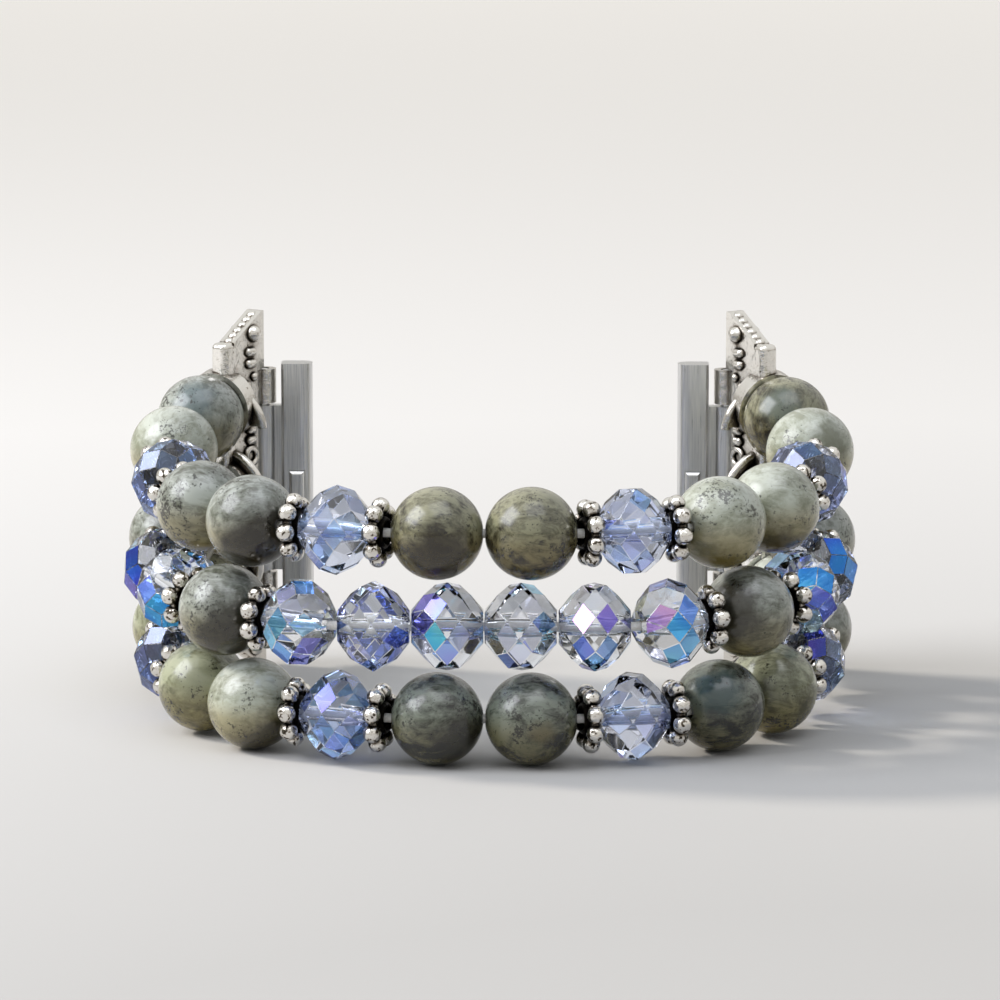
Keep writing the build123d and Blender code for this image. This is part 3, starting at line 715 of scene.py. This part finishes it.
daisyPattern = makeDaisy()
for name, places in daisyPlaces().items():
    points = [v.co.copy() for v in nodes[name].data.vertices]
    made = [placedCopy(daisyPattern, f"{name}_{i}", centre, axis, daisyTurn(centre, axis, points))
            for i, (centre, axis) in enumerate(places)]
    useOnly(made[0])
    for piece in made:
        piece.select_set(True)
    bpy.ops.object.join()
    made[0].name = f"{name}_cast"
    finishPiece(made[0], daisySilver, bodyOfNode[name], "antique_silver", name)
bpy.data.objects.remove(daisyPattern)
for side in sideNames:
    coatNode(f"end_bar_{side}", castSilver)
print("silver made")


# Small steel parts: lugs, pins and buttons brushed to fine lines, and a rolled, faintly blue spring strip
steelLook = {
    # noise cells for each mm: brush lines about 0.1 mm apart, drawn out along the height
    "line": 9.0, "lineStretch": 0.03, "lineDepth": 0.01, "lineStrength": 0.3,
    "toneStops": (0.3, 0.7), "roughnessBelow": 0.05, "roughnessAbove": 0.1,
}
# bright tone, shade, roughness
steelKinds = {
    "brushed stainless steel": ("#e3e3e1", "#c4c5c7", 0.28),
    "rolled spring steel": ("#9aa2ad", "#6f7782", 0.22),
}
springLook = {"edge": 0.03, "edgeSteps": 2, "edgeAngle": 40}


def linedSteel(name):
    bright, shade, roughness = steelKinds[name]
    material, tree, shader = newMaterial(name, {"Metallic": 1.0})
    place = addNode(tree, "ShaderNodeTexCoord").outputs["Object"]
    along = addNode(tree, "ShaderNodeMapping", {"Vector": place,
                                                "Scale": (1.0, 1.0, steelLook["lineStretch"])})
    lines = addNode(tree, "ShaderNodeTexNoise", {"Vector": along.outputs[0], "Scale": steelLook["line"] / mm,
                                                 "Detail": 2.0}).outputs["Fac"]
    tone = addNode(tree, "ShaderNodeValToRGB", {"Fac": lines},
                   stops=list(zip(steelLook["toneStops"], (shade, bright))))
    tree.links.new(tone.outputs["Color"], shader.inputs["Base Color"])
    grain = addNode(tree, "ShaderNodeMapRange", {"Value": lines,
                                                 "To Min": roughness - steelLook["roughnessBelow"],
                                                 "To Max": roughness + steelLook["roughnessAbove"]})
    tree.links.new(grain.outputs[0], shader.inputs["Roughness"])
    relief = addNode(tree, "ShaderNodeBump", {"Height": lines, "Strength": steelLook["lineStrength"],
                                              "Distance": steelLook["lineDepth"] * mm})
    tree.links.new(relief.outputs[0], shader.inputs["Normal"])
    return material


steel, springSteel = [linedSteel(name) for name in steelKinds]
for side in sideNames:
    for part in ("watch_lug", "latch_button", "hinge_pin"):
        coatNode(f"{part}_{side}", steel)
    spring = mergedCopy(f"latch_spring_{side}", f"latch_spring_{side}_leaf")
    bevelEdges(spring, springLook["edge"], springLook["edgeSteps"], springLook["edgeAngle"])
    finishPiece(spring, springSteel, f"lug_{side}", "spring_steel", f"latch_spring_{side}")
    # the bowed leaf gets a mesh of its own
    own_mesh(spring)
print("steel made")


# Elastic cord: extruded white stretch cord, satin and a little translucent, with a knot at each end
cordLook = {
    "beads": 8, "radius": 0.4, "knotRadius": 0.42, "knotTube": 0.33, "knotPoints": 24,
    "tubeSides": 5, "tubeSteps": 6,
    # half lengths of the beads along the thread, and the share of it at which they hold the cord
    "stoneHalf": 4.0, "crystalHalf": 3.08, "mouthShare": 0.9,
    # from the last bead's centre, where the solid's points belong to the knot
    "knotFrom": 5.0, "knotTo": 7.6,
    # half of the stretch of cord at the front's middle that lengthens
    "stretchHalf": 2.5,
    # noise cells for each mm
    "strand": 5.0, "tones": [(0.3, "#dcdad2"), (0.7, "#f1efe9")],
}
# shares of a bead's half length where the cord begins and ends to bend
endShares = (0.0, 0.5, 0.9, 1.0, 1.1, 1.2, 1.3)
elasticShader = {"Roughness": 0.42, "Subsurface Weight": 0.2, "Subsurface Radius": (1.0, 1.0, 0.9),
                 "Subsurface Scale": 0.4 * mm}


def whiteElastic():
    material, tree, shader = newMaterial("extruded white elastic", elasticShader)
    place = addNode(tree, "ShaderNodeTexCoord").outputs["Object"]
    strands = addNode(tree, "ShaderNodeTexNoise", {"Vector": place, "Scale": cordLook["strand"] / mm,
                                                   "Detail": 2.0})
    tone = addNode(tree, "ShaderNodeValToRGB", {"Fac": strands.outputs["Fac"]}, stops=cordLook["tones"])
    tree.links.new(tone.outputs["Color"], shader.inputs["Base Color"])
    return material


def makeTube(name, points, radius, closed=False):
    # A round tube through the given points, as a mesh
    curve = bpy.data.curves.new(name, "CURVE")
    curve.dimensions = "3D"
    curve.bevel_depth = radius * mm
    curve.bevel_resolution = cordLook["tubeSides"]
    curve.resolution_u = cordLook["tubeSteps"]
    curve.use_fill_caps = not closed
    spline = curve.splines.new("NURBS")
    spline.points.add(len(points) - 1)
    for point, place in zip(spline.points, points):
        point.co = (*place, 1.0)
    spline.order_u = 3
    spline.use_endpoint_u = not closed
    spline.use_cyclic_u = closed
    tube = bpy.data.objects.new(name, curve)
    bpy.context.scene.collection.objects.link(tube)
    useOnly(tube)
    bpy.ops.object.convert(target="MESH")
    bpy.ops.object.shade_smooth()
    tube = bpy.context.object
    tube.data.materials.append(elastic)
    return tube


def halfRow(row, side):
    # A half row's beads from the front's middle outwards: centre, thread, half length along it, section
    found = []
    for number in range(1, cordLook["beads"] + 1):
        for kind in ("stone", "crystal"):
            name = f"{kind}_{row}_{side}_{number}"
            if name in nodes:
                centre, axis = beadPlace(name)
                found.append({"centre": centre, "axis": axis, "reach": axis * (cordLook[f"{kind}Half"] * mm),
                              "section": joints[f"spin_{name}"]["parent"]})
    return found


def threadPoints(beads):
    # Two points in each bead, near its mouths
    points = []
    for bead in beads:
        mouth = bead["reach"] * cordLook["mouthShare"]
        points += [bead["centre"] - mouth, bead["centre"] + mouth]
    return points


def knotPoints(centre, axis, away):
    # An overhand knot pulled small round the end of the cord
    stand = axis.to_track_quat("Z", "Y").to_matrix()
    points = []
    for i in range(cordLook["knotPoints"]):
        angle = 2 * pi * i / cordLook["knotPoints"]
        swing = Vector((sin(angle) + 2 * sin(2 * angle), cos(angle) - 2 * cos(2 * angle), -sin(3 * angle)))
        points.append(centre + stand @ (swing * away))
    return points


def makeFlank(row, side, frontLast, rest):
    # From the middle of the last front stone to the middle of the last bead
    path = threadPoints([frontLast, *rest])
    path[0], path[-1] = frontLast["centre"], rest[-1]["centre"]
    flank = makeTube(f"cord_{row}_{side}_flank", path, cordLook["radius"])
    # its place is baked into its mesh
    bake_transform(flank)
    return flank


def makeEnd(row, side, bead, knotCentre):
    # From the middle of the last bead into the end bar's barrel, bending in its funnel
    last, reach = bead["centre"], bead["reach"]
    path = [last + reach * share for share in endShares]
    tail = makeTube(f"cord_{row}_{side}_end", [*path, knotCentre], cordLook["radius"])
    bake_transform(tail)
    return tail


elastic = whiteElastic()
cordPoints = [v.co for v in nodes["elastic_cords"].data.vertices]
for row in rowNames:
    middlePath = []
    for side in sideNames:
        beads = halfRow(row, side)
        front = [bead for bead in beads if bead["section"] == f"front_{side}"]
        rest = [bead for bead in beads if bead["section"] != f"front_{side}"]
        path = threadPoints(front)
        path[-1] = front[-1]["centre"]
        middlePath = [*middlePath, *path] if side == "right" else path[::-1]
        flank = makeFlank(row, side, front[-1], rest)
        last, axis = rest[-1]["centre"], rest[-1]["axis"]
        near = [p for p in cordPoints if (p - last).dot(axis) > cordLook["knotFrom"] * mm
                and (p - last).length < cordLook["knotTo"] * mm]
        knotCentre = sum(near, Vector()) / len(near)
        tail = makeEnd(row, side, rest[-1], knotCentre)
        knotWay = (knotCentre - last).normalized()
        knot = makeTube(f"cord_{row}_{side}_knot",
                        knotPoints(knotCentre, knotWay, cordLook["knotRadius"] * mm / 3),
                        cordLook["knotTube"], closed=True)
        finishPiece(knot, elastic, f"end_{side}", "elastic", "elastic_cords")
        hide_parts("elastic_cords")
        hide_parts("elastic_cords")
    middle = makeTube(f"cord_{row}_front", middlePath, cordLook["radius"])
    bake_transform(middle)
    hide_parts("elastic_cords")
print("cords made")
